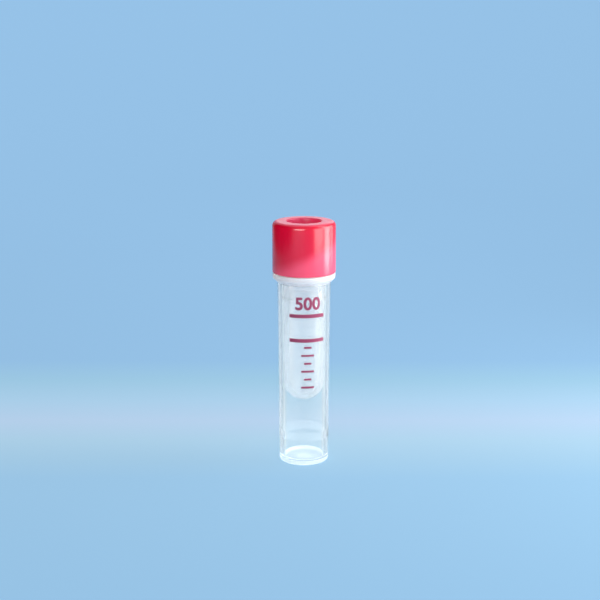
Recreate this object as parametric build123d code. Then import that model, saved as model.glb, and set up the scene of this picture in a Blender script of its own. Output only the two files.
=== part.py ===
from build123d import *
import os
from math import radians, tan

# Capillary blood collection tube. A round-bottomed sample vessel hangs in a clear, flat-footed outer tube,
# and a screw cap with a hollow top closes the vessel's neck over a seal ring.
# Millimetres. The origin is the centre of the foot, and +Z runs up the tube's axis.

# ---- Inner vessel: its bore and heights set the volume at the fill marks ----
vessel_bore_radius = 3.08    # at the round bottom
vessel_wall = 1.12
vessel_draft = 0.2           # degrees
vessel_floor_gap = 12.35     # between the outer tube's floor and the vessel's round bottom
mouth_flare = 0.74           # mouth radius over the bore's at the funnel's foot
mouth_depth = 2.70           # straight mouth that the cap's lip wipes
funnel_height = 2.40         # cone from the mouth to the bore
neck_wall = 0.95
neck_height = 4.60           # flange top to the neck's rim
flange_thickness = 0.85
flange_overhang = -0.05      # flange radius over the cap's
bead_height = 0.90
bead_land = 0.30             # straight crest of the bead
bead_below_flange = 3.85     # flange underside to the bead's top
bead_clearance = 0.04        # bead to the outer tube's bore
small_round = 0.15           # flange edges, neck's foot and the outer tube's mouth
rim_round = 0.25             # both edges of the neck's rim

# ---- Outer tube ----
tube_height = 38.85          # foot to the collar's top face, which carries the flange
tube_wall = 0.80
tube_draft = 0.5             # degrees
tube_gap = 0.35              # vessel to bore under the collar
floor_thickness = 0.75
foot_edge_round = 0.70
floor_corner_round = 0.60
thick_wall_top = 6.90        # below this the bore narrows to a thicker wall
thick_wall_bottom = 5.10
thick_wall_step = 0.20
collar_setback = 0.05        # collar radius under the flange's
collar_rim_height = 0.15     # straight rim above the collar's cone
gate_dimple_radius = 1.60
gate_dimple_depth = 0.25
gate_stub_radius = 0.50
gate_stub_height = 0.15

# ---- Thread: right-hand, two starts ----
thread_starts = 2
thread_lead = 4.40           # rise in one turn
thread_depth = 0.45
thread_root_width = 1.20
thread_crest_width = 0.56
thread_radial_clearance = 0.15
thread_flank_clearance = 0.06
thread_bite = 0.20           # how far a ridge is rooted in its wall
thread_end_gap = 0.30        # ridge to the neck's rim, to the flange and to the skirt's foot

# ---- Seal ring ----
seal_thickness = 0.54
seal_clearance = 0.03        # to the neck's rim and to the cap's ceiling
seal_inner_clearance = 0.10  # to the cap's lip
seal_setback = 0.05          # inside the neck's outer edge
seal_round = 0.12

# ---- Screw cap ----
skirt_wall = 0.95
cap_height = 10.40
cap_web = 1.00               # between the ceiling and the recess
cap_flange_gap = 0.10
cap_edge_round = 1.00
cap_foot_round = 0.20
recess_radius = 3.45
recess_floor_radius = 3.32
recess_edge_round = 0.30
recess_floor_round = 0.50
lip_clearance = 0.18         # lip to the vessel's mouth
lip_wall = 0.55
lip_round = 0.24
lip_depth = 1.85

# ---- Heights worked out from the values above ----
flange_top = tube_height + flange_thickness
neck_rim = flange_top + neck_height
mouth_bottom = neck_rim - mouth_depth
funnel_bottom = mouth_bottom - funnel_height
cap_foot = flange_top + cap_flange_gap
cap_top = cap_foot + cap_height
seal_bottom = neck_rim + seal_clearance
ceiling = seal_bottom + seal_thickness + seal_clearance
recess_floor = ceiling + cap_web
vessel_outer_radius = vessel_bore_radius + vessel_wall
sphere_centre = floor_thickness + vessel_floor_gap + vessel_outer_radius


def vessel_growth(height):
    """How much the drafted vessel has widened from its round bottom to a height."""
    return tan(radians(vessel_draft)) * (height - sphere_centre)


# ---- Radii worked out, from the vessel outwards ----
bore_top_radius = vessel_bore_radius + vessel_growth(funnel_bottom)
vessel_top_radius = vessel_outer_radius + vessel_growth(tube_height)
tube_top_radius = vessel_top_radius + tube_gap + tube_wall
mouth_radius = bore_top_radius + mouth_flare
neck_radius = mouth_radius + neck_wall
lip_radius = mouth_radius - lip_clearance
cap_bore_radius = neck_radius + thread_depth + thread_radial_clearance
cap_radius = cap_bore_radius + skirt_wall
flange_radius = cap_radius + flange_overhang
collar_radius = flange_radius - collar_setback

# ---- Thread ends worked out ----
start_spacing = 360.0 / thread_starts
half_ridge = thread_root_width / 2
neck_thread_low = flange_top + thread_end_gap + half_ridge
neck_thread_high = neck_rim - thread_end_gap - half_ridge
neck_thread_sweep = 360.0 * (neck_thread_high - neck_thread_low) / thread_lead
# A flank leans by this much for each millimetre of height, so a radial clearance opens the flanks too.
flank_lean = (thread_root_width - thread_crest_width) / (2 * thread_depth)
ridge_spacing = (
    thread_root_width - flank_lean * (thread_depth + thread_radial_clearance) + thread_flank_clearance
)
cap_thread_low = cap_foot + thread_end_gap + half_ridge
cap_thread_lag = 360.0 * (cap_thread_low + ridge_spacing - neck_thread_low) / thread_lead


def tube_outer_radius(height):
    """Outside radius of the drafted tube wall at a height above the foot."""
    return tube_top_radius - tan(radians(tube_draft)) * (tube_height - height)


def tube_bore_radius(height):
    """Bore radius of the tube above its thicker lower wall."""
    return tube_outer_radius(height) - tube_wall


def spin(outline, rounds=()):
    """Round the named corners of a (radius, height) outline and turn it about Z into a solid."""
    face = make_face(outline)
    for corner, radius in rounds:
        vertex = face.vertices().sort_by_distance(Vector(*corner))[0]
        face = fillet(vertex, radius)
    return revolve(Plane.XZ * face, Axis.Z)


def closed(*points):
    """Straight outline through the points and back to the first."""
    return Polyline(*points, close=True)


def thread_ridge(wall_radius, crest_radius, height, angle, sweep_angle):
    """One trapezoid ridge that winds up a wall, outwards or inwards, from a centre height and an angle."""
    outwards = 1 if crest_radius > wall_radius else -1
    rooted_radius = wall_radius - outwards * thread_bite
    rooted_width = thread_root_width + 2 * flank_lean * thread_bite
    section = make_face(closed(
        (rooted_radius, -rooted_width / 2),
        (crest_radius, -thread_crest_width / 2),
        (crest_radius, thread_crest_width / 2),
        (rooted_radius, rooted_width / 2),
    ))
    path = Helix(pitch=thread_lead, height=thread_lead * sweep_angle / 360, radius=wall_radius)
    ridge = sweep(Plane.XZ * section, path=path, is_frenet=True)
    return Pos(0, 0, height) * Rot(0, 0, angle) * ridge


def build_outer_tube():
    """Clear tube: flat foot, drafted wall, thicker lower wall and a flared collar."""
    collar_low = tube_height - collar_rim_height
    cone_low = collar_low - (collar_radius - tube_top_radius)
    thick_radius = tube_bore_radius(thick_wall_bottom) - thick_wall_step
    foot_corner = (tube_outer_radius(0), 0)
    floor_corner = (thick_radius, floor_thickness)
    collar_inner = (tube_bore_radius(tube_height), tube_height)
    collar_outer = (collar_radius, tube_height)
    body = spin(
        closed(
            (0, 0),
            foot_corner,
            (tube_outer_radius(cone_low), cone_low),
            (collar_radius, collar_low),
            collar_outer,
            collar_inner,
            (tube_bore_radius(thick_wall_top), thick_wall_top),
            (thick_radius, thick_wall_bottom),
            floor_corner,
            (0, floor_thickness),
        ),
        rounds=(
            (foot_corner, foot_edge_round),
            (floor_corner, floor_corner_round),
            (collar_inner, small_round),
        ),
    )
    dimple = extrude(Circle(gate_dimple_radius), gate_dimple_depth)
    stub = Pos(0, 0, gate_dimple_depth - gate_stub_height) * extrude(Circle(gate_stub_radius), gate_dimple_depth)
    return body - dimple + stub


def build_inner_vessel():
    """Natural vessel: round bottom, locating bead, flange, funnel mouth and threaded neck."""
    bead_top = tube_height - bead_below_flange
    bead_middle = bead_top - bead_height / 2
    bead_radius = tube_bore_radius(bead_middle) - bead_clearance
    centre = (0, sphere_centre)
    inner_side = (vessel_bore_radius, sphere_centre)
    outer_side = (vessel_outer_radius, sphere_centre)
    inner_pole = (0, sphere_centre - vessel_bore_radius)
    outer_pole = (0, sphere_centre - vessel_outer_radius)
    flange_low = (flange_radius, tube_height)
    flange_high = (flange_radius, flange_top)
    neck_foot = (neck_radius, flange_top)
    rim_outer = (neck_radius, neck_rim)
    rim_inner = (mouth_radius, neck_rim)
    outline = [
        Line(inner_pole, outer_pole),
        CenterArc(centre, vessel_outer_radius, 270, 90),
        Polyline(
            outer_side,
            (vessel_top_radius, tube_height),
            flange_low,
            flange_high,
            neck_foot,
            rim_outer,
            rim_inner,
            (mouth_radius, mouth_bottom),
            (bore_top_radius, funnel_bottom),
            inner_side,
        ),
        CenterArc(centre, vessel_bore_radius, 270, 90),
    ]
    body = spin(outline, rounds=(
        (flange_low, small_round),
        (flange_high, small_round),
        (neck_foot, small_round),
        (rim_outer, rim_round),
        (rim_inner, rim_round),
    ))
    rooted_radius = vessel_outer_radius - vessel_wall / 2
    bead = spin(closed(
        (rooted_radius, bead_top - bead_height),
        (vessel_outer_radius, bead_top - bead_height),
        (bead_radius, bead_middle - bead_land / 2),
        (bead_radius, bead_middle + bead_land / 2),
        (vessel_outer_radius, bead_top),
        (rooted_radius, bead_top),
    ))
    vessel = body + bead
    for start in range(thread_starts):
        vessel += thread_ridge(
            neck_radius,
            neck_radius + thread_depth,
            neck_thread_low,
            start * start_spacing,
            neck_thread_sweep,
        )
    return vessel


def build_seal_ring():
    """Flat ring with rounded edges between the neck's rim and the cap's ceiling."""
    inner = lip_radius + seal_inner_clearance
    outer = neck_radius - seal_setback
    top = seal_bottom + seal_thickness
    corners = ((inner, seal_bottom), (outer, seal_bottom), (outer, top), (inner, top))
    return spin(closed(*corners), rounds=[(corner, seal_round) for corner in corners])


def build_screw_cap():
    """Smooth cap: thin threaded skirt, solid top with a round recess, and a sealing lip under it."""
    lip_inner = lip_radius - lip_wall
    lip_low = ceiling - lip_depth
    foot_outer = (cap_radius, cap_foot)
    foot_inner = (cap_bore_radius, cap_foot)
    top_outer = (cap_radius, cap_top)
    recess_rim = (recess_radius, cap_top)
    recess_corner = (recess_floor_radius, recess_floor)
    lip_nose_outer = (lip_radius, lip_low)
    lip_nose_inner = (lip_inner, lip_low)
    cap = spin(
        closed(
            (0, ceiling),
            (lip_inner, ceiling),
            lip_nose_inner,
            lip_nose_outer,
            (lip_radius, ceiling),
            (cap_bore_radius, ceiling),
            foot_inner,
            foot_outer,
            top_outer,
            recess_rim,
            recess_corner,
            (0, recess_floor),
        ),
        rounds=(
            (foot_outer, cap_foot_round),
            (top_outer, cap_edge_round),
            (recess_rim, recess_edge_round),
            (recess_corner, recess_floor_round),
            (lip_nose_outer, lip_round),
            (lip_nose_inner, lip_round),
        ),
    )
    for start in range(thread_starts):
        cap += thread_ridge(
            cap_bore_radius,
            cap_bore_radius - thread_depth,
            cap_thread_low,
            start * start_spacing + cap_thread_lag,
            neck_thread_sweep - cap_thread_lag,
        )
    return cap


pieces = {
    "outer_tube": build_outer_tube(),
    "inner_vessel": build_inner_vessel(),
    "seal_ring": build_seal_ring(),
    "screw_cap": build_screw_cap(),
}

os.makedirs("parts", exist_ok=True)
for name, piece in pieces.items():
    export_step(piece, f"parts/{name}.step")
    print(name, len(piece.solids()), "solid", round(piece.volume, 2), "mm3")
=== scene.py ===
"""Visual model of a capillary blood collection tube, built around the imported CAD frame.

A round-bottomed sample vessel hangs in a clear, flat-footed outer tube. A red screw cap with
a hollow top closes the vessel's neck over a seal ring, and a fill scale is printed on the
outer tube. Meshes are shaped in millimetres and turned to metres when they are finished.
"""

from __future__ import annotations

import logging
import math
from collections.abc import Iterable, Mapping, Sequence
from dataclasses import dataclass, field
from enum import Enum
from typing import Any

import bmesh
import bpy
from bmesh.types import BMesh, BMVert
from bpy.types import Material, Node, NodeSocket, NodeTree, Object
from mathutils import Matrix, Vector

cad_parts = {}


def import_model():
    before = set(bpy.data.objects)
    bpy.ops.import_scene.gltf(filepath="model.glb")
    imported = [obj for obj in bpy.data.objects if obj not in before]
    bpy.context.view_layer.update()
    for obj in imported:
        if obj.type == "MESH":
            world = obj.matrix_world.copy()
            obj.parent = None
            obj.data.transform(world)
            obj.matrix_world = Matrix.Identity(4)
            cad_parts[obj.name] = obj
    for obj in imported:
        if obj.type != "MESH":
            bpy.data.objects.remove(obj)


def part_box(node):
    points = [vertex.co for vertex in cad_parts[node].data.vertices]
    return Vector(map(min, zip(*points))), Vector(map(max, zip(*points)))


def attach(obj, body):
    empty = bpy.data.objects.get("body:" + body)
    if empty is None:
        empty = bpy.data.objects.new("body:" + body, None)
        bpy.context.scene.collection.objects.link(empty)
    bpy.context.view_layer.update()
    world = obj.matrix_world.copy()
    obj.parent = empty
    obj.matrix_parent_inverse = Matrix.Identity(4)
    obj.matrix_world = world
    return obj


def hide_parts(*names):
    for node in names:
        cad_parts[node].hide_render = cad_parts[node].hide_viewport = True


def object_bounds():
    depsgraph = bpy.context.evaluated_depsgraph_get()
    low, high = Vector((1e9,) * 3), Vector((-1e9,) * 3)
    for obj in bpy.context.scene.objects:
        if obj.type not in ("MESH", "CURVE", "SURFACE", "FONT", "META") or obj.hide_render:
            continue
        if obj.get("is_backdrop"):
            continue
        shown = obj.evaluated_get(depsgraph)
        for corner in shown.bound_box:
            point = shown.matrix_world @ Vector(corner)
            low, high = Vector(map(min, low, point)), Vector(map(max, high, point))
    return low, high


LOG = logging.getLogger("blood_collection_tube")

MM = 0.001
Z_AXIS = Vector((0, 0, 1))
RING_FACETS = 144
MERGE_MM = 1e-4
SHARP_ANGLE = math.radians(32)
# How far past its last face a textured zone reaches, in mm, so that it holds that face.
ZONE_SLACK = 0.01

Colour = tuple[float, float, float, float]


class Body(Enum):
    """The CAD bodies that pieces ride on."""

    TUBE = "tube"
    SEAL = "seal"
    CAP = "cap"


class Slot(Enum):
    """The record's material slots."""

    CLEAR = "clear_polypropylene"
    NATURAL = "natural_polypropylene"
    SILICONE = "silicone"
    RED = "red_polyethylene"


# ---- nodes and colours


def linear(hex_colour: str) -> Colour:
    """Turns an sRGB hex colour to the linear values that shaders take.

    Args:
        hex_colour: Six hex digits after a "#".

    Returns:
        Red, green, blue and an alpha of 1.
    """
    parts = [int(hex_colour[i : i + 2], 16) / 255 for i in (1, 3, 5)]
    red, green, blue = (c / 12.92 if c <= 0.04045 else ((c + 0.055) / 1.055) ** 2.4 for c in parts)
    return red, green, blue, 1.0


def add_node(
    tree: NodeTree,
    kind: str,
    inputs: Mapping[str | int, Any] | None = None,
    **settings: Any,
) -> Node:
    """Adds a shader node with its settings, values and links.

    Args:
        tree: Node tree that the node joins.
        kind: Node type without its "ShaderNode" prefix.
        inputs: For each input socket, its value, or the output socket that feeds it, or the
            node whose first output in use does.
        **settings: Properties of the node itself.

    Returns:
        The new node.
    """
    node = tree.nodes.new(f"ShaderNode{kind}")
    for name, value in settings.items():
        setattr(node, name, value)
    for key, value in (inputs or {}).items():
        if isinstance(value, Node):
            value = next(output for output in value.outputs if output.enabled)
        if isinstance(value, NodeSocket):
            tree.links.new(value, node.inputs[key])
        else:
            node.inputs[key].default_value = value
    return node


def new_material(name: str) -> tuple[Material, NodeTree]:
    """Makes a material without nodes.

    Args:
        name: Its name.

    Returns:
        The material and its empty node tree.
    """
    material = bpy.data.materials.new(name)
    material.use_nodes = True
    material.node_tree.nodes.clear()
    return material, material.node_tree


def moulded_grain(tree: NodeTree, size_mm: float, depth_mm: float) -> Node:
    """Adds the faint unevenness that a mould leaves on what is made in it.

    Args:
        tree: Node tree that gets the nodes.
        size_mm: Width of one swell on the surface.
        depth_mm: Height of a swell.

    Returns:
        The bump that gives the normal.
    """
    place = add_node(tree, "TexCoord").outputs["Object"]
    swells = add_node(tree, "TexNoise", {"Vector": place, "Scale": 1 / (size_mm * MM)})
    return add_node(tree, "Bump", {"Height": swells, "Distance": depth_mm * MM})


def let_lamps_through(tree: NodeTree, plastic: Node, shade: str) -> None:
    """Ends a plastic's nodes so that lamp light goes straight through it.

    Args:
        tree: Node tree that gets the nodes.
        plastic: The shader that is seen.
        shade: Hex colour that dims the lamp light.
    """
    lamp_light = add_node(tree, "BsdfTransparent", {"Color": linear(shade)})
    path = add_node(tree, "LightPath")
    surface = add_node(
        tree, "MixShader", {0: path.outputs["Is Shadow Ray"], 1: plastic, 2: lamp_light}
    )
    add_node(tree, "OutputMaterial", {"Surface": surface})


# ---- finishes


@dataclass(frozen=True)
class MouldedPolypropylene:
    """Injection-moulded polypropylene: glassy skin, with a milky haze from its crystals.

    The haze is the share of light that a face scatters back and the glow the share that it
    scatters onwards. The rest passes through and bends, which draws the dark and bright
    lines along the walls. Lamp light goes straight through to what stands behind, dimmed
    by the shade colour. A swell is given by its width and height in mm.
    """

    name: str
    tint: str
    haze: float
    glow: float
    roughness: float
    swell: tuple[float, float]
    shade: str = "#F4F8FB"
    ior: float = 1.49

    def build(self) -> Material:
        """Makes the material.

        Returns:
            The material.
        """
        material, tree = new_material(self.name)
        plastic = add_node(
            tree,
            "BsdfPrincipled",
            {
                "Base Color": linear(self.tint),
                "Roughness": self.roughness,
                "IOR": self.ior,
                "Transmission Weight": 1.0 - self.haze,
                "Normal": moulded_grain(tree, *self.swell),
            },
        )
        crystals = add_node(tree, "BsdfTranslucent", {"Color": linear(self.tint)})
        milky = add_node(tree, "MixShader", {0: self.glow, 1: plastic, 2: crystals})
        let_lamps_through(tree, milky, self.shade)
        return material


@dataclass(frozen=True)
class PigmentedPolyethylene:
    """Injection-moulded polyethylene with a light dose of red pigment, for the cap.

    The skin is glossy and lets a little light through. The solid upper part is deep in
    colour. The skirt is thin and stands over the white neck, so it is paler, below a soft
    edge that drifts: partly real tone and partly painted light, and the edge's lean, higher
    towards +X, is painted light from the lamps on that side. The flat top ring is satin and
    is painted pale, a painted highlight of the light from above. The recess is painted a
    pinker colour, painted light for the light that gathers in it, and lets more light
    through. Places are in mm.
    """

    recess_radius: float
    top: float
    deep: str = "#E60A38"
    # Pale tone of the skirt, partly real and partly painted light, and of the top ring's painted
    # highlight.
    pale: str = "#FC5674"
    recess_painted_light_colour: str = "#EC5C8C"
    shade: str = "#943A4C"
    clearness: float = 0.10
    glow: float = 0.15
    recess_glow: float = 0.50
    roughness: float = 0.20
    ring_roughness: float = 0.40
    gloss: float = 0.85
    ior: float = 1.51
    # Height of the skirt's pale edge over the foot's middle, how far it fades each way, and
    # its rise for each mm towards +X, which is painted light from the lamps on that side.
    pale_below: float = 43.4
    fade: float = 1.6
    lean: float = 0.45
    # Width and height of the waves in that edge.
    drift: tuple[float, float] = (4.0, 0.6)
    # Fade of the recess's painted light colour past its wall, and depths at which the ring's
    # satin finish and painted highlight start and are whole.
    recess_fade: float = 0.3
    ring_fade: tuple[float, float] = (0.35, 0.05)
    swell: tuple[float, float] = (2.0, 0.0015)

    def in_recess(self, tree: NodeTree, place: NodeSocket) -> Node:
        """Adds the nodes that find the recess.

        Args:
            tree: Node tree that gets the nodes.
            place: Output with the place on the cap.

        Returns:
            A node that gives 1 on the recess's wall and floor, and 0 outside it.
        """
        flat = add_node(tree, "VectorMath", {0: place, 1: (1, 1, 0)}, operation="MULTIPLY")
        reach = add_node(tree, "VectorMath", {0: flat}, operation="LENGTH")
        edge = {
            "From Min": (self.recess_radius + self.recess_fade) * MM,
            "From Max": self.recess_radius * MM,
        }
        return add_node(tree, "MapRange", {"Value": reach, **edge})

    def on_top_ring(self, tree: NodeTree, place: NodeSocket) -> Node:
        """Adds the nodes that find the flat ring round the recess.

        Args:
            tree: Node tree that gets the nodes.
            place: Output with the place on the cap.

        Returns:
            A node that gives 1 on the ring, and 0 below it.
        """
        axes = add_node(tree, "SeparateXYZ", {0: place})
        start, whole = self.ring_fade
        edge = {"From Min": (self.top - start) * MM, "From Max": (self.top - whole) * MM}
        return add_node(tree, "MapRange", {"Value": axes.outputs["Z"], **edge})

    def on_skirt(self, tree: NodeTree, place: NodeSocket) -> Node:
        """Adds the nodes that find the pale zone at the cap's foot.

        Args:
            tree: Node tree that gets the nodes.
            place: Output with the place on the cap.

        Returns:
            A node that falls from 1 to 0 across the zone's leaning, drifting edge.
        """
        width, rise = self.drift
        waves = {"Vector": place, "Scale": 1 / (width * MM), "Detail": 1.0}
        drift = add_node(tree, "TexNoise", waves)
        # Painted light: the pale edge rises towards +X, where the lamps light the neck seen
        # through the skirt.
        level = add_node(
            tree, "VectorMath", {0: place, 1: (-self.lean, 0, 1)}, operation="DOT_PRODUCT"
        )
        height = add_node(
            tree, "Math", {0: drift, 1: rise * MM, 2: level}, operation="MULTIPLY_ADD"
        )
        edge = {
            "From Min": (self.pale_below + self.fade) * MM,
            "From Max": (self.pale_below - self.fade) * MM,
        }
        return add_node(
            tree, "MapRange", {"Value": height, **edge}, interpolation_type="SMOOTHSTEP"
        )

    def build(self) -> Material:
        """Makes the material.

        Returns:
            The material.
        """
        material, tree = new_material("red_moulded_polyethylene")
        place = add_node(tree, "TexCoord").outputs["Object"]
        recess = self.in_recess(tree, place)
        ring = self.on_top_ring(tree, place)
        skirt = self.on_skirt(tree, place)
        # Pale where the white neck shows through the skirt, partly real tone and partly painted
        # light, and a painted highlight on the top ring.
        pale_and_painted_light = add_node(tree, "Math", {0: skirt, 1: ring}, operation="MAXIMUM")
        tones = {6: linear(self.deep), 7: linear(self.pale)}
        outside = add_node(tree, "Mix", {0: pale_and_painted_light, **tones}, data_type="RGBA")
        # Painted light: the recess gets a pinker colour for the light that gathers in it.
        colour = add_node(
            tree, "Mix", {0: recess, 6: outside, 7: linear(self.recess_painted_light_colour)}, data_type="RGBA"
        )
        satin = add_node(
            tree,
            "MapRange",
            {"Value": ring, "To Min": self.roughness, "To Max": self.ring_roughness},
        )
        plastic = add_node(
            tree,
            "BsdfPrincipled",
            {
                "Base Color": colour,
                "Roughness": satin,
                "IOR": self.ior,
                "Specular IOR Level": self.gloss,
                "Transmission Weight": self.clearness,
                "Normal": moulded_grain(tree, *self.swell),
            },
        )
        pigment = add_node(tree, "BsdfTranslucent", {"Color": colour})
        glow = add_node(
            tree, "MapRange", {"Value": recess, "To Min": self.glow, "To Max": self.recess_glow}
        )
        glowing = add_node(tree, "MixShader", {0: glow, 1: plastic, 2: pigment})
        let_lamps_through(tree, glowing, self.shade)
        return material


@dataclass(frozen=True)
class SiliconeRubber:
    """Moulded translucent silicone, for the seal: soft, satin and slightly milky."""

    colour: str = "#D9D7CF"
    roughness: float = 0.45
    ior: float = 1.41
    swell: tuple[float, float] = (0.3, 0.003)

    def build(self) -> Material:
        """Makes the material.

        Returns:
            The material.
        """
        material, tree = new_material("moulded_silicone")
        rubber = add_node(
            tree,
            "BsdfPrincipled",
            {
                "Base Color": linear(self.colour),
                "Roughness": self.roughness,
                "IOR": self.ior,
                "Normal": moulded_grain(tree, *self.swell),
            },
        )
        add_node(tree, "OutputMaterial", {"Surface": rubber})
        return material


@dataclass(frozen=True)
class PadPrintedInk:
    """Pad-printed two-part ink, for the scale: flat and satin.

    The silicone pad leaves it a little uneven in cover, which gives a fine mottle of two
    near tones. The real mottle is finer and is drawn as coarse as it needs to show.
    """

    colour: str = "#8C3250"
    thin_colour: str = "#9C4662"
    roughness: float = 0.50
    gloss: float = 0.3
    mottle_mm: float = 0.18

    def build(self) -> Material:
        """Makes the material.

        Returns:
            The material.
        """
        material, tree = new_material("pad_printed_ink")
        place = add_node(tree, "TexCoord").outputs["Object"]
        mottle = add_node(tree, "TexNoise", {"Vector": place, "Scale": 1 / (self.mottle_mm * MM)})
        tones = {6: linear(self.colour), 7: linear(self.thin_colour)}
        cover = add_node(tree, "Mix", {0: mottle, **tones}, data_type="RGBA")
        ink = add_node(
            tree,
            "BsdfPrincipled",
            {"Base Color": cover, "Roughness": self.roughness, "Specular IOR Level": self.gloss},
        )
        add_node(tree, "OutputMaterial", {"Surface": ink})
        return material


# Moulded against polished steel: clear and glossy, with faint ripples in what shows through.
CLEAR_POLYPROPYLENE = MouldedPolypropylene(
    name="clear_moulded_polypropylene",
    tint="#F9FBFA",
    haze=0.03,
    glow=0.04,
    roughness=0.05,
    swell=(2.4, 0.0010),
)
# Moulded against fine-stoned steel, on the wall's step: a band that catches light softly.
GRAINED_CLEAR_POLYPROPYLENE = MouldedPolypropylene(
    name="grained_clear_polypropylene",
    tint="#F9FCFE",
    haze=0.10,
    glow=0.10,
    roughness=0.12,
    swell=(0.8, 0.0015),
)
# Moulded against etched steel, on the floor and base: satin, blurring what is behind. Here
# and below, real etching is finer than the swells, which are as coarse as they need to show.
SATIN_CLEAR_POLYPROPYLENE = MouldedPolypropylene(
    name="satin_clear_polypropylene",
    tint="#F9FAFC",
    haze=0.24,
    glow=0.18,
    roughness=0.30,
    swell=(0.4, 0.0020),
)
# Moulded against blasted steel, on the foot and collar: frosted, so they read as white.
FROSTED_CLEAR_POLYPROPYLENE = MouldedPolypropylene(
    name="frosted_clear_polypropylene",
    tint="#FCFCFC",
    haze=0.52,
    glow=0.26,
    roughness=0.35,
    swell=(0.4, 0.0020),
)
# The vessel's thicker wall, unclarified: glossy, with the plastic's own faint milkiness.
NATURAL_POLYPROPYLENE = MouldedPolypropylene(
    name="natural_moulded_polypropylene",
    tint="#F7F6F6",
    haze=0.07,
    glow=0.12,
    roughness=0.10,
    swell=(1.8, 0.0015),
    shade="#E2E8EE",
)
# The same moulded against etched steel, on the flange: a soft white ring under the cap.
SATIN_NATURAL_POLYPROPYLENE = MouldedPolypropylene(
    name="satin_natural_polypropylene",
    tint="#FCFCFA",
    haze=0.60,
    glow=0.20,
    roughness=0.30,
    swell=(0.4, 0.0020),
    shade="#E2E8EE",
)


# ---- shaping


@dataclass(frozen=True)
class Corner:
    """One corner of an outline that is turned about the tube's axis.

    Attributes:
        radius: Distance from the axis, in mm.
        height: Height above the foot, in mm.
        round: Radius of the corner's rounding, in mm.
        steps: Facets of the rounding.
    """

    radius: float
    height: float
    round: float = 0.0
    steps: int = 5


def round_corner(mesh: BMesh, point: BMVert, radius: float, steps: int) -> None:
    """Rounds a corner of a wire outline with an arc that both its sides run into.

    Args:
        mesh: Mesh that holds the outline.
        point: Vertex at the corner.
        radius: Radius of the arc, in mm.
        steps: Facets of the arc.
    """
    sides = [edge.other_vert(point).co - point.co for edge in point.link_edges]
    reach = radius / math.tan(sides[0].angle(sides[1]) / 2)
    bmesh.ops.bevel(
        mesh,
        geom=[point],
        offset=min(reach, sides[0].length, sides[1].length),
        offset_type="OFFSET",
        segments=steps,
        profile=0.5,
        affect="VERTICES",
        material=-1,
    )


def lathe(outline: Sequence[Corner]) -> BMesh:
    """Turns an outline about Z into a closed skin.

    Args:
        outline: Corners in order. It closes on the axis where both ends lie there, and on
            itself where they don't.

    Returns:
        A mesh in millimetres with its faces outwards.
    """
    mesh = bmesh.new()
    points = [mesh.verts.new((c.radius, 0, c.height)) for c in outline]
    for start, end in zip(points, points[1:]):
        mesh.edges.new((start, end))
    if outline[0].radius > 0:
        mesh.edges.new((points[-1], points[0]))
    for point, corner in zip(points, outline):
        if corner.round > 0:
            round_corner(mesh, point, corner.round, corner.steps)
    bmesh.ops.remove_doubles(mesh, verts=mesh.verts, dist=MERGE_MM)
    bmesh.ops.spin(
        mesh,
        geom=mesh.verts[:] + mesh.edges[:],
        axis=Z_AXIS,
        cent=(0, 0, 0),
        angle=math.tau,
        steps=RING_FACETS,
        use_merge=True,
    )
    bmesh.ops.remove_doubles(mesh, verts=mesh.verts, dist=MERGE_MM)
    bmesh.ops.recalc_face_normals(mesh, faces=mesh.faces)
    return mesh


def swept_section(
    section: Sequence[tuple[float, float]],
    start: float,
    sweep: float,
    rise: float,
    step: float = 2.5,
) -> BMesh:
    """Winds a closed section about Z, level or climbing, into a solid with flat ends.

    Args:
        section: Radius and height of each corner, in mm.
        start: Angle of the first end from +X, in degrees.
        sweep: Angle that it runs through, in degrees.
        rise: How far it climbs in all, in mm.
        step: Angle of one facet, in degrees.

    Returns:
        A mesh in millimetres with its faces outwards.
    """
    mesh = bmesh.new()
    end_face = mesh.faces.new([mesh.verts.new((r, 0, z)) for r, z in section])
    bmesh.ops.rotate(
        mesh, verts=mesh.verts, matrix=Matrix.Rotation(math.radians(start), 3, Z_AXIS)
    )
    steps = math.ceil(sweep / step)
    bmesh.ops.spin(
        mesh,
        geom=[end_face, *end_face.edges, *end_face.verts],
        axis=Z_AXIS,
        cent=(0, 0, 0),
        dvec=(0, 0, rise / steps),
        angle=math.radians(sweep),
        steps=steps,
    )
    bmesh.ops.recalc_face_normals(mesh, faces=mesh.faces)
    return mesh


def finished(mesh: BMesh, name: str) -> Object:
    """Turns a mesh in millimetres to an object in metres at the origin.

    Args:
        mesh: The mesh. It is used up.
        name: Name of the piece.

    Returns:
        The object, smooth but for its sharp edges.
    """
    bmesh.ops.scale(mesh, verts=mesh.verts, vec=(MM, MM, MM))
    data = bpy.data.meshes.new(name)
    mesh.to_mesh(data)
    mesh.free()
    data.shade_smooth()
    data.set_sharp_from_angle(angle=SHARP_ANGLE)
    piece = bpy.data.objects.new(name, data)
    bpy.context.scene.collection.objects.link(piece)
    return piece


def united(body: Object, additions: Iterable[Object]) -> Object:
    """Fuses further solids into a piece, so that no wall is left inside it.

    Args:
        body: The piece that stays.
        additions: Solids that are used up.

    Returns:
        The piece, with one closed skin.
    """
    parts = list(additions)
    for part in parts:
        join = body.modifiers.new(part.name, "BOOLEAN")
        join.operation = "UNION"
        join.solver = "EXACT"
        join.object = part
    evaluated = body.evaluated_get(bpy.context.evaluated_depsgraph_get())
    fused = bpy.data.meshes.new_from_object(evaluated)
    body.modifiers.clear()
    body.data = fused
    fused.name = body.name
    fused.set_sharp_from_angle(angle=SHARP_ANGLE)
    for part in parts:
        bpy.data.objects.remove(part)
    return body


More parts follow.
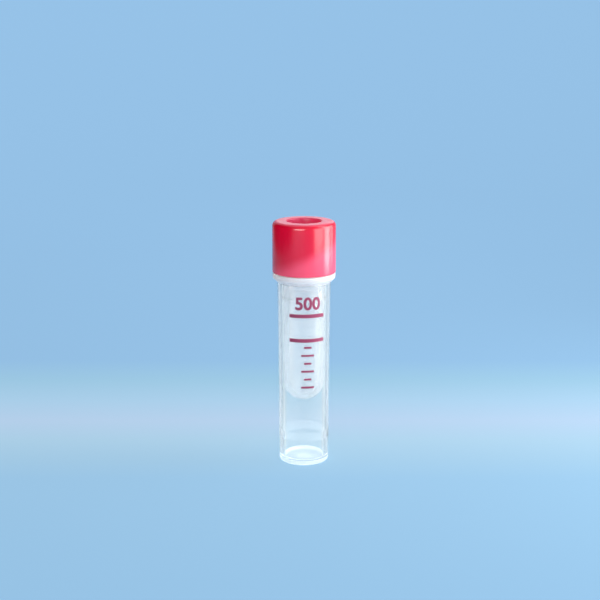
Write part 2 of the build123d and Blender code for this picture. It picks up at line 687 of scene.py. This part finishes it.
def dress(
    piece: Object,
    material: Material,
    body: Body,
    stands_for: str | None = None,
) -> Object:
    """Gives a piece its finish and its body, and logs it.

    Args:
        piece: The piece, in place.
        material: Its finish.
        body: CAD body that it rides on.
        stands_for: CAD node that it replaces, if it does.

    Returns:
        The piece.
    """
    piece.data.materials.clear()
    piece.data.materials.append(material)
    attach(piece, body.value)
    if stands_for:
        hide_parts(stands_for)
    LOG.info("%s: %d faces, rides on %s", piece.name, len(piece.data.polygons), body.value)
    return piece


@dataclass(frozen=True)
class Zone:
    """A ring of space about the tube's axis, for a finish on part of a piece, in mm."""

    low: float
    high: float
    inner: float = 0.0
    outer: float = math.inf

    def holds(self, place: Vector) -> bool:
        """Says whether a place, in metres, lies in the zone."""
        reach = math.hypot(place.x, place.y) / MM
        return self.low <= place.z / MM <= self.high and self.inner <= reach <= self.outer


def texture_zones(piece: Object, material: Material, zones: Sequence[Zone]) -> None:
    """Gives the faces of some zones a further finish, as a textured mould does.

    Args:
        piece: The piece, already dressed.
        material: The further finish.
        zones: Where it goes.
    """
    index = len(piece.data.materials)
    piece.data.materials.append(material)
    for face in piece.data.polygons:
        if any(zone.holds(face.center) for zone in zones):
            face.material_index = index


@dataclass(frozen=True)
class Span:
    """What a CAD node's box says of a turned piece, in mm."""

    radius: float
    bottom: float
    top: float

    @classmethod
    def of(cls, node: str) -> Span:
        """Reads the box of a CAD node."""
        low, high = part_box(node)
        return cls(high.x / MM, low.z / MM, high.z / MM)


@dataclass(frozen=True)
class Thread:
    """A right-hand thread with two starts.

    Attributes:
        lead: Rise in one turn, in mm.
        depth: Height of a ridge over its wall, in mm.
        root: Width of a ridge at its wall, in mm.
        crest: Width of a ridge at its top, in mm.
        bite: How far a ridge is rooted in its wall, in mm.
        starts: Number of ridges.
    """

    lead: float = 4.40
    depth: float = 0.45
    root: float = 1.20
    crest: float = 0.56
    bite: float = 0.20
    starts: int = 2

    def ridges(
        self, wall: float, outwards: bool, height: float, start: float, sweep: float
    ) -> list[Object]:
        """Makes the ridges on a wall.

        Args:
            wall: Radius of the wall, in mm.
            outwards: True on a neck, False inside a skirt.
            height: Middle of a ridge where it starts, in mm.
            start: Angle of the first start from +X, in degrees.
            sweep: Angle that a ridge runs through, in degrees.

        Returns:
            One object for each start.
        """
        side = 1 if outwards else -1
        lean = (self.root - self.crest) / (2 * self.depth)
        foot = self.root / 2 + lean * self.bite
        section = [
            (wall - side * self.bite, height - foot),
            (wall + side * self.depth, height - self.crest / 2),
            (wall + side * self.depth, height + self.crest / 2),
            (wall - side * self.bite, height + foot),
        ]
        rise = self.lead * sweep / 360
        angles = [start + turn * 360 / self.starts for turn in range(self.starts)]
        return [
            finished(swept_section(section, angle, sweep, rise), f"ridge_{index}")
            for index, angle in enumerate(angles)
        ]


# ---- the tube's parts


@dataclass
class OuterTube:
    """Clear tube with a flat foot, a thicker wall low down and a flared collar, in mm.

    Its mould is textured in zones, which are the milky bands that are seen on the tube.
    """

    span: Span = field(default_factory=lambda: Span.of("outer_tube"))
    wall: float = 0.80
    draft: float = math.tan(math.radians(0.5))
    shoulder_radius: float = 5.425
    collar_rim: float = 0.15
    collar_frost: float = 0.75
    contact_gap: float = 0.01
    floor: float = 0.75
    satin_top: float = 1.45
    frost_bottom: float = 0.02
    frost_top: float = 1.15
    thick_top: float = 6.90
    thick_bottom: float = 5.10
    thick_step: float = 0.20
    dimple_radius: float = 1.60
    dimple_depth: float = 0.25
    stub_radius: float = 0.50
    stub_height: float = 0.15
    foot_round: float = 0.70
    floor_round: float = 0.60
    mouth_round: float = 0.15
    cone_round: float = 0.30
    step_round: float = 1.20
    rim_round: float = 0.05
    dimple_round: float = 0.10
    dimple_edge_round: float = 0.08

    def radius_at(self, height: float) -> float:
        """Outside radius at a height above the foot, in mm."""
        return self.shoulder_radius - self.draft * (self.span.top - height)

    def low_bore(self) -> float:
        """Radius of the bore below the step in the wall, in mm."""
        return self.radius_at(self.thick_bottom) - self.wall - self.thick_step

    def outline(self) -> list[Corner]:
        """Outline from the middle of the foot, up the outside and down the bore.

        Returns:
            Its corners, in order.
        """
        top = self.span.top - self.contact_gap
        rim_low = self.span.top - self.collar_rim
        cone_low = rim_low - (self.span.radius - self.shoulder_radius)
        low_bore = self.low_bore()
        stub_low = self.dimple_depth - self.stub_height
        return [
            Corner(0, stub_low),
            Corner(self.stub_radius, stub_low, self.rim_round, steps=3),
            Corner(self.stub_radius, self.dimple_depth, self.rim_round, steps=3),
            Corner(self.dimple_radius, self.dimple_depth, self.dimple_round, steps=3),
            Corner(self.dimple_radius, 0, self.dimple_edge_round, steps=3),
            Corner(self.radius_at(0), 0, self.foot_round, steps=10),
            Corner(self.radius_at(self.frost_top), self.frost_top),
            Corner(self.radius_at(cone_low), cone_low, self.cone_round, steps=4),
            Corner(self.span.radius, rim_low, self.rim_round, steps=3),
            Corner(self.span.radius, top, self.rim_round, steps=3),
            Corner(self.radius_at(top) - self.wall, top, self.mouth_round),
            Corner(self.radius_at(self.thick_top) - self.wall, self.thick_top, self.step_round),
            Corner(low_bore, self.thick_bottom, self.step_round),
            Corner(low_bore, self.satin_top),
            Corner(low_bore, self.floor, self.floor_round, steps=8),
            Corner(0, self.floor),
        ]

    def build(self) -> Object:
        """Makes the tube.

        Returns:
            The tube.
        """
        piece = finished(lathe(self.outline()), "outer_tube_shell")
        dress(piece, CLEAR_POLYPROPYLENE.build(), Body.TUBE, "outer_tube")
        low_bore = self.low_bore()
        high_bore = self.radius_at(self.thick_top) - self.wall
        foot = Zone(self.frost_bottom, self.frost_top, inner=low_bore)
        base = Zone(-ZONE_SLACK, self.dimple_depth + ZONE_SLACK, outer=low_bore)
        floor = Zone(self.floor - ZONE_SLACK, self.satin_top, outer=low_bore)
        collar = Zone(self.span.top - self.collar_frost, self.span.top)
        step = Zone(self.thick_bottom, self.thick_top, outer=high_bore)
        texture_zones(piece, SATIN_CLEAR_POLYPROPYLENE.build(), (floor, base))
        texture_zones(piece, FROSTED_CLEAR_POLYPROPYLENE.build(), (foot, collar))
        texture_zones(piece, GRAINED_CLEAR_POLYPROPYLENE.build(), (step,))
        return piece


@dataclass
class InnerVessel:
    """Natural vessel with a round bottom, a bead, a flange, a funnel and a threaded neck."""

    span: Span = field(default_factory=lambda: Span.of("inner_vessel"))
    thread: Thread = field(default_factory=Thread)
    bore: float = 3.08
    wall: float = 1.12
    draft: float = math.tan(math.radians(0.2))
    bead_radius: float = 4.552
    bead_bottom: float = 34.10
    bead_top: float = 35.00
    bead_land: float = 0.30
    flange_bottom: float = 38.85
    flange_top: float = 39.70
    neck_radius: float = 4.846
    mouth_radius: float = 3.896
    mouth_bottom: float = 41.60
    funnel_bottom: float = 39.20
    bead_root_round: float = 0.08
    bead_round: float = 0.12
    flange_root_round: float = 0.12
    flange_round: float = 0.15
    rim_round: float = 0.25
    funnel_top_round: float = 0.40
    funnel_foot_round: float = 0.80
    ridge_low: float = 40.60
    ridge_sweep: float = 229.1

    def widened(self, radius: float, height: float) -> float:
        """Radius at a height, for a wall that has this radius at the round bottom's centre."""
        centre = self.span.bottom + self.bore + self.wall
        return radius + self.draft * (height - centre)

    def outline(self) -> list[Corner]:
        """Outline from the round bottom, up the outside and down the bore.

        Returns:
            Its corners, in order.
        """
        outer = self.bore + self.wall
        bottom = self.span.bottom
        bead_low = (self.bead_bottom + self.bead_top - self.bead_land) / 2
        bead_high = bead_low + self.bead_land
        under_bead = self.widened(outer, self.bead_bottom)
        over_bead = self.widened(outer, self.bead_top)
        under_flange = self.widened(outer, self.flange_bottom)
        funnel_foot = self.widened(self.bore, self.funnel_bottom)
        return [
            Corner(0, bottom),
            Corner(outer, bottom, outer, steps=24),
            Corner(under_bead, self.bead_bottom, self.bead_root_round, steps=3),
            Corner(self.bead_radius, bead_low, self.bead_round, steps=3),
            Corner(self.bead_radius, bead_high, self.bead_round, steps=3),
            Corner(over_bead, self.bead_top, self.bead_root_round, steps=3),
            Corner(under_flange, self.flange_bottom, self.flange_root_round, steps=3),
            Corner(self.span.radius, self.flange_bottom, self.flange_round),
            Corner(self.span.radius, self.flange_top, self.flange_round),
            Corner(self.neck_radius, self.flange_top, self.flange_round),
            Corner(self.neck_radius, self.span.top, self.rim_round),
            Corner(self.mouth_radius, self.span.top, self.rim_round),
            Corner(self.mouth_radius, self.mouth_bottom, self.funnel_top_round),
            Corner(funnel_foot, self.funnel_bottom, self.funnel_foot_round),
            Corner(self.bore, bottom + self.wall, self.bore, steps=24),
            Corner(0, bottom + self.wall),
        ]

    def build(self) -> Object:
        """Makes the vessel with its neck thread.

        Returns:
            The vessel.
        """
        ridges = self.thread.ridges(self.neck_radius, True, self.ridge_low, 0, self.ridge_sweep)
        piece = united(finished(lathe(self.outline()), "inner_vessel_body"), ridges)
        dress(piece, NATURAL_POLYPROPYLENE.build(), Body.TUBE, "inner_vessel")
        low, high = self.flange_bottom - ZONE_SLACK, self.flange_top + ZONE_SLACK
        flange = Zone(low, high, inner=self.neck_radius)
        texture_zones(piece, SATIN_NATURAL_POLYPROPYLENE.build(), (flange,))
        return piece


@dataclass
class SealRing:
    """Flat silicone ring with rounded edges, between the neck's rim and the cap."""

    span: Span = field(default_factory=lambda: Span.of("seal_ring"))
    inner_radius: float = 3.816
    edge_round: float = 0.12

    def build(self) -> Object:
        """Makes the ring.

        Returns:
            The ring.
        """
        inner, outer = self.inner_radius, self.span.radius
        low, high = self.span.bottom, self.span.top
        corners = ((inner, low), (outer, low), (outer, high), (inner, high))
        outline = [Corner(radius, height, self.edge_round) for radius, height in corners]
        piece = finished(lathe(outline), "seal_ring_moulding")
        return dress(piece, SiliconeRubber().build(), Body.SEAL, "seal_ring")


@dataclass
class ScrewCap:
    """Smooth cap with a threaded skirt, a recessed solid top and a sealing lip."""

    span: Span = field(default_factory=lambda: Span.of("screw_cap"))
    thread: Thread = field(default_factory=Thread)
    bore: float = 5.446
    ceiling: float = 44.90
    recess_floor: float = 45.90
    recess_radius: float = 3.45
    recess_floor_radius: float = 3.32
    lip_radius: float = 3.716
    lip_wall: float = 0.55
    lip_depth: float = 1.85
    lip_round: float = 0.24
    lip_root_round: float = 0.15
    ceiling_round: float = 0.10
    bore_edge_round: float = 0.08
    foot_round: float = 0.20
    top_round: float = 1.00
    recess_edge_round: float = 0.30
    recess_floor_round: float = 0.50
    ridge_low: float = 40.70
    ridge_lag: float = 76.4
    ridge_sweep: float = 152.7

    def outline(self) -> list[Corner]:
        """Outline from the middle of the ceiling, round the lip and skirt, to the recess.

        Returns:
            Its corners, in order.
        """
        lip_inner = self.lip_radius - self.lip_wall
        lip_low = self.ceiling - self.lip_depth
        return [
            Corner(0, self.ceiling),
            Corner(lip_inner, self.ceiling, self.lip_root_round, steps=3),
            Corner(lip_inner, lip_low, self.lip_round),
            Corner(self.lip_radius, lip_low, self.lip_round),
            Corner(self.lip_radius, self.ceiling),
            Corner(self.bore, self.ceiling, self.ceiling_round, steps=3),
            Corner(self.bore, self.span.bottom, self.bore_edge_round, steps=3),
            Corner(self.span.radius, self.span.bottom, self.foot_round),
            Corner(self.span.radius, self.span.top, self.top_round, steps=12),
            Corner(self.recess_radius, self.span.top, self.recess_edge_round, steps=6),
            Corner(self.recess_floor_radius, self.recess_floor, self.recess_floor_round, steps=8),
            Corner(0, self.recess_floor),
        ]

    def build(self) -> Object:
        """Makes the cap with its inner thread.

        Returns:
            The cap.
        """
        ridges = self.thread.ridges(
            self.bore, False, self.ridge_low, self.ridge_lag, self.ridge_sweep
        )
        piece = united(finished(lathe(self.outline()), "screw_cap_moulding"), ridges)
        red = PigmentedPolyethylene(self.recess_radius, self.span.top)
        return dress(piece, red.build(), Body.CAP, "screw_cap")


@dataclass
class PrintedScale:
    """Fill marks and their number, printed on the outer tube.

    Sizes are in mm, and angles in degrees from the front, -Y, towards +X. The full mark
    stands where the vessel holds 500 microlitres.
    """

    tube: OuterTube
    film: float = 0.03
    lift: float = 0.004
    line_height: float = 0.74
    line_from: float = -33.0
    line_to: float = 46.0
    full_mark: float = 31.75
    middle_mark: float = 26.70
    number: str = "500"
    number_bottom: float = 32.98
    number_height: float = 2.65
    number_angle: float = 8.0
    # Height of a figure as a share of the type's size, and how much its strokes are widened.
    figure_share: float = 0.72
    stroke_weight: float = 0.10
    # Width of the slices in which the figures follow the round wall.
    slice_width: float = 0.15
    tick_angle: float = 8.0
    tick_height: float = 0.40
    long_tick: float = 2.6
    short_tick: float = 1.5
    # Where the vessel holds 300 microlitres, and so on down to 50 in steps of 50.
    tick_marks: tuple[float, ...] = (25.25, 23.58, 21.92, 20.26, 18.60, 16.92)

    def mark(self, name: str, height: float, thick: float, start: float, end: float) -> Object:
        """Prints one level line.

        Args:
            name: Name of the piece.
            height: Middle of the line, in mm.
            thick: Its height, in mm.
            start: Angle of its left end, in degrees.
            end: Angle of its right end, in degrees.

        Returns:
            The line.
        """
        low, high = height - thick / 2, height + thick / 2
        low_face = self.tube.radius_at(low) + self.lift
        high_face = self.tube.radius_at(high) + self.lift
        section = [
            (low_face, low),
            (low_face + self.film, low),
            (high_face + self.film, high),
            (high_face, high),
        ]
        return finished(swept_section(section, start - 90, end - start, 0), name)

    def digits(self) -> Object:
        """Prints the number over the full mark, wrapped on the wall.

        Returns:
            The number.
        """
        text = bpy.data.curves.new("fill_number", "FONT")
        text.body = self.number
        text.size = self.number_height / self.figure_share
        text.extrude = self.film / 2
        text.offset = self.stroke_weight
        text.align_x = "CENTER"
        writing = bpy.data.objects.new("fill_number_text", text)
        bpy.context.scene.collection.objects.link(writing)
        bpy.context.view_layer.update()
        flat = bpy.data.meshes.new_from_object(
            writing.evaluated_get(bpy.context.evaluated_depsgraph_get())
        )
        bpy.data.objects.remove(writing)
        mesh = bmesh.new()
        mesh.from_mesh(flat)
        bpy.data.meshes.remove(flat)
        bmesh.ops.remove_doubles(mesh, verts=mesh.verts, dist=MERGE_MM)
        half = max(abs(v.co.x) for v in mesh.verts)
        cut = -half + self.slice_width
        while cut < half:
            bmesh.ops.bisect_plane(
                mesh,
                geom=mesh.verts[:] + mesh.edges[:] + mesh.faces[:],
                plane_co=(cut, 0, 0),
                plane_no=(1, 0, 0),
            )
            cut += self.slice_width
        bottom = min(v.co.y for v in mesh.verts)
        scale = self.number_height / (max(v.co.y for v in mesh.verts) - bottom)
        for vert in mesh.verts:
            height = self.number_bottom + (vert.co.y - bottom) * scale
            wall = self.tube.radius_at(height)
            angle = math.radians(self.number_angle) + vert.co.x * scale / wall
            radius = wall + self.lift + self.film / 2 + vert.co.z
            vert.co = (radius * math.sin(angle), -radius * math.cos(angle), height)
        return finished(mesh, "fill_number")

    def build(self) -> list[Object]:
        """Prints the whole scale.

        Returns:
            The lines, the number and the ticks.
        """
        ink = PadPrintedInk().build()
        lines = (("fill_line_full", self.full_mark), ("fill_line_middle", self.middle_mark))
        pieces = [
            self.mark(name, height, self.line_height, self.line_from, self.line_to)
            for name, height in lines
        ]
        pieces.append(self.digits())
        for index, height in enumerate(self.tick_marks):
            name = f"fill_tick_{index + 1}"
            width = self.long_tick if index % 2 else self.short_tick
            half = math.degrees(width / 2 / self.tube.radius_at(height))
            start, end = self.tick_angle - half, self.tick_angle + half
            pieces.append(self.mark(name, height, self.tick_height, start, end))
        return [dress(piece, ink, Body.TUBE) for piece in pieces]


# ---- the studio


def fill_ramp(ramp: Node, stops: Sequence[tuple[float, str, float]]) -> None:
    """Sets the stops of a colour ramp.

    Args:
        ramp: The ramp.
        stops: Each stop's place from 0 to 1, colour and cover.
    """
    elements = ramp.color_ramp.elements
    while len(elements) < len(stops):
        elements.new(1.0)
    for element, (place, colour, cover) in zip(elements, stops):
        element.position = place
        element.color = (*linear(colour)[:3], cover)


@dataclass(frozen=True)
class Softbox:
    """A rectangular lamp that faces the tube.

    Attributes:
        name: Name of the lamp.
        angle: Where it stands, in degrees from the front towards +X.
        rise: Height of its middle above the tube's, in degrees.
        distance: From the tube's middle, in mm.
        width: In mm.
        height: In mm.
        watts: Power.
    """

    name: str
    angle: float
    rise: float
    distance: float
    width: float
    height: float
    watts: float

    def build(self, target: Vector) -> Object:
        """Makes the lamp.

        Args:
            target: The point it faces, in metres.

        Returns:
            The lamp.
        """
        lamp = bpy.data.lights.new(self.name, "AREA")
        lamp.shape = "RECTANGLE"
        lamp.size = self.width * MM
        lamp.size_y = self.height * MM
        lamp.energy = self.watts
        angle, rise = math.radians(self.angle), math.radians(self.rise)
        away = Vector(
            (math.sin(angle) * math.cos(rise), -math.cos(angle) * math.cos(rise), math.sin(rise))
        )
        holder = bpy.data.objects.new(self.name, lamp)
        holder.location = target + away * self.distance * MM
        holder.rotation_euler = away.to_track_quat("Z", "Y").to_euler()
        bpy.context.scene.collection.objects.link(holder)
        return holder


@dataclass
class Studio:
    """Pale blue sweep of card, a black flag, soft lamps and the camera, in mm and degrees."""

    camera_place: tuple[float, float, float] = (-0.811, -246.4, 91.53)
    camera_pitch: float = 13.17
    camera_focal: float = 74.79
    camera_clip: tuple[float, float] = (5.0, 10000.0)
    sensor: float = 36.0
    card_front: float = -500.0
    card_back: float = 420.0
    card_top: float = 520.0
    card_bend: float = 200.0
    card_bend_steps: int = 24
    card_half_width: float = 180.0
    glow_share: float = 0.85
    # Colour of the card by distance behind the tube.
    card_colours: tuple[tuple[float, str], ...] = (
        (-60.0, "#98C4E6"),
        (-12.0, "#9DC8E8"),
        (0.0, "#A6CDE8"),
        (11.0, "#AED2EA"),
        (24.0, "#B8D3EE"),
        (39.0, "#ADD2ED"),
        (56.0, "#A0CCE7"),
        (74.0, "#98C4E9"),
        (400.0, "#9CC9EF"),
    )
    # The painted flats' slopes count from this far to each side of the axis, and the painted
    # flats fade in over this distance behind it.
    tube_reach: float = 5.0
    # Painted light on the card that only clear walls show, the bright and grey bands of pale
    # flats on both sides: slope aside, colour and cover.
    painted_flat_light: tuple[tuple[float, str, float], ...] = (
        (-1.0, "#B4C6D4", 1.0),
        (-0.66, "#B4C6D4", 1.0),
        (-0.58, "#F8FDFF", 1.0),
        (-0.36, "#F8FDFF", 1.0),
        (-0.26, "#B8CCDA", 0.9),
        (-0.14, "#B8CCDA", 0.0),
        (0.14, "#B8CCDA", 0.0),
        (0.26, "#B0C4D2", 0.9),
        (0.36, "#E4F0F8", 1.0),
        (0.58, "#E4F0F8", 1.0),
        (0.66, "#B4C6D4", 1.0),
    )
    flag_place: float = -182.0
    flag_half_length: float = 200.0
    flag_top: float = 320.0
    flag_colour: str = "#1C1C20"
    room_colour: str = "#EEF2F7"
    room_strength: float = 0.45
    beyond_colour: str = "#9CC9EA"
    lamps: tuple[Softbox, ...] = (
        Softbox("strip_softbox", 90, 13, 125, 58, 105, 0.13),
        Softbox("rim_softbox", 116, 14, 150, 45, 120, 0.045),
        Softbox("broad_softbox", 54, 13, 150, 95, 104, 0.12),
        Softbox("top_softbox", 90, 46, 160, 50, 100, 0.058),
        Softbox("front_softbox", -18, 18, 340, 200, 160, 0.60),
        Softbox("back_softbox", 174, 26, 260, 130, 90, 0.08),
    )

    def flats(self, tree: NodeTree, axes: Node) -> tuple[Node, Node]:
        """Adds the nodes that paint light on the card behind the tube, as pale flats would give
        it.

        Args:
            tree: Node tree that gets the nodes.
            axes: Node that gives the place's X and Y.

        Returns:
            The flats' colour, and how far they cover the card.
        """
        reach = self.tube_reach * MM
        middle = add_node(tree, "Clamp", {"Value": axes.outputs["X"], "Min": -reach, "Max": reach})
        beside = add_node(tree, "Math", {0: axes.outputs["X"], 1: middle}, operation="SUBTRACT")
        aside = add_node(tree, "Math", {0: beside, 1: axes.outputs["Y"]}, operation="DIVIDE")
        turned = add_node(tree, "MapRange", {"Value": aside, "From Min": -1.0, "From Max": 1.0})
        ramp = add_node(tree, "ValToRGB", {"Fac": turned})
        fill_ramp(
            ramp, [((slope + 1) / 2, colour, cover) for slope, colour, cover in self.painted_flat_light]
        )
        behind = add_node(tree, "MapRange", {"Value": axes.outputs["Y"], "From Max": reach})
        cover = add_node(tree, "Math", {0: ramp.outputs["Alpha"], 1: behind}, operation="MULTIPLY")
        return ramp, cover

    def card_finish(self) -> Material:
        """Makes the finish of matt card.

        To the camera, in gloss and through clear walls it mostly glows by itself, which
        keeps its tone even and its shadow faint. The painted light of the flats shows through
        clear walls only.

        Returns:
            The material.
        """
        material, tree = new_material("pale_blue_card")
        place = add_node(tree, "TexCoord").outputs["Object"]
        path = add_node(tree, "LightPath")
        axes = add_node(tree, "SeparateXYZ", {0: place})
        near, far = self.card_colours[0][0], self.card_colours[-1][0]
        along = add_node(
            tree,
            "MapRange",
            {"Value": axes.outputs["Y"], "From Min": near * MM, "From Max": far * MM},
        )
        ramp = add_node(tree, "ValToRGB", {"Fac": along})
        fill_ramp(
            ramp,
            [((place - near) / (far - near), colour, 1.0) for place, colour in self.card_colours],
        )
        paper = add_node(tree, "BsdfDiffuse", {"Color": ramp})
        # Painted light: the bright and grey bands that clear walls show along their edges.
        flat_colour, painted_flat_cover = self.flats(tree, axes)
        through = path.outputs["Is Transmission Ray"]
        cover = add_node(tree, "Math", {0: painted_flat_cover, 1: through}, operation="MULTIPLY")
        shown = add_node(tree, "Mix", {0: cover, 6: ramp, 7: flat_colour}, data_type="RGBA")
        glow = add_node(tree, "Emission", {"Color": shown})
        seen = add_node(
            tree,
            "Math",
            {0: path.outputs["Is Camera Ray"], 1: path.outputs["Is Glossy Ray"]},
            operation="MAXIMUM",
        )
        seen_through = add_node(tree, "Math", {0: seen, 1: through}, operation="MAXIMUM")
        share = add_node(tree, "Math", {0: seen_through, 1: self.glow_share}, operation="MULTIPLY")
        surface = add_node(tree, "MixShader", {0: share, 1: paper, 2: glow})
        add_node(tree, "OutputMaterial", {"Surface": surface})
        return material

    def card(self) -> Object:
        """Makes the card: a floor that bends up into a backdrop.

        Returns:
            The card.
        """
        mesh = bmesh.new()
        places = ((self.card_front, 0), (self.card_back, 0), (self.card_back, self.card_top))
        points = [mesh.verts.new((-self.card_half_width, y, z)) for y, z in places]
        for start, end in zip(points, points[1:]):
            mesh.edges.new((start, end))
        round_corner(mesh, points[1], self.card_bend, self.card_bend_steps)
        swept = bmesh.ops.extrude_edge_only(mesh, edges=mesh.edges[:])
        moved = [item for item in swept["geom"] if isinstance(item, BMVert)]
        bmesh.ops.translate(mesh, verts=moved, vec=(2 * self.card_half_width, 0, 0))
        bmesh.ops.recalc_face_normals(mesh, faces=mesh.faces)
        card = finished(mesh, "backdrop_card")
        card.data.materials.append(self.card_finish())
        card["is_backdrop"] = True
        return card

    def flag(self) -> Object:
        """Makes the black board on the left that keeps the cap's shaded side deep.

        The camera doesn't see it, so it never hides the tube in views from the left.

        Returns:
            The board.
        """
        mesh = bmesh.new()
        reach = self.flag_half_length
        corners = ((-reach, 0), (reach, 0), (reach, self.flag_top), (-reach, self.flag_top))
        mesh.faces.new([mesh.verts.new((self.flag_place, y, z)) for y, z in corners])
        flag = finished(mesh, "black_flag")
        material, tree = new_material("black_felt")
        felt = add_node(tree, "BsdfDiffuse", {"Color": linear(self.flag_colour)})
        add_node(tree, "OutputMaterial", {"Surface": felt})
        flag.data.materials.append(material)
        flag.visible_camera = False
        flag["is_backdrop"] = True
        return flag

    def camera(self) -> Object:
        """Makes the scene's camera.

        Returns:
            The camera.
        """
        lens = bpy.data.cameras.new("camera")
        lens.sensor_width = self.sensor
        lens.lens = self.camera_focal
        lens.clip_start, lens.clip_end = (depth * MM for depth in self.camera_clip)
        camera = bpy.data.objects.new("camera", lens)
        camera.location = Vector(self.camera_place) * MM
        camera.rotation_euler = (math.radians(90 - self.camera_pitch), 0, 0)
        bpy.context.scene.collection.objects.link(camera)
        bpy.context.scene.camera = camera
        return camera

    def sky(self) -> None:
        """Sets the even light of the room, which the camera sees as more of the card."""
        world = bpy.data.worlds.new("room")
        world.use_nodes = True
        tree = world.node_tree
        tree.nodes.clear()
        room = add_node(
            tree, "Background", {"Color": linear(self.room_colour), "Strength": self.room_strength}
        )
        beyond = add_node(tree, "Background", {"Color": linear(self.beyond_colour)})
        path = add_node(tree, "LightPath")
        seen = add_node(tree, "MixShader", {0: path.outputs["Is Camera Ray"], 1: room, 2: beyond})
        add_node(tree, "OutputWorld", {"Surface": seen})
        bpy.context.scene.world = world

    def build(self, target: Vector) -> None:
        """Sets the studio up around the tube.

        Args:
            target: Middle of the tube, in metres.
        """
        self.card()
        self.flag()
        self.sky()
        for lamp in self.lamps:
            lamp.build(target)
            LOG.info("lamp %s: %.2f W", lamp.name, lamp.watts)
        self.camera()
        bpy.context.scene.view_settings.view_transform = "Standard"


def main() -> None:
    """Builds the tube's pieces in order, then the studio."""
    logging.basicConfig(level=logging.INFO, format="%(name)s: %(message)s")
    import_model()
    cad_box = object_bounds()
    tube = OuterTube()
    tube.build()
    InnerVessel().build()
    SealRing().build()
    ScrewCap().build()
    PrintedScale(tube).build()
    low, high = cad_box
    Studio().build((Vector(low) + Vector(high)) / 2)


if __name__ == "__main__":
    main()
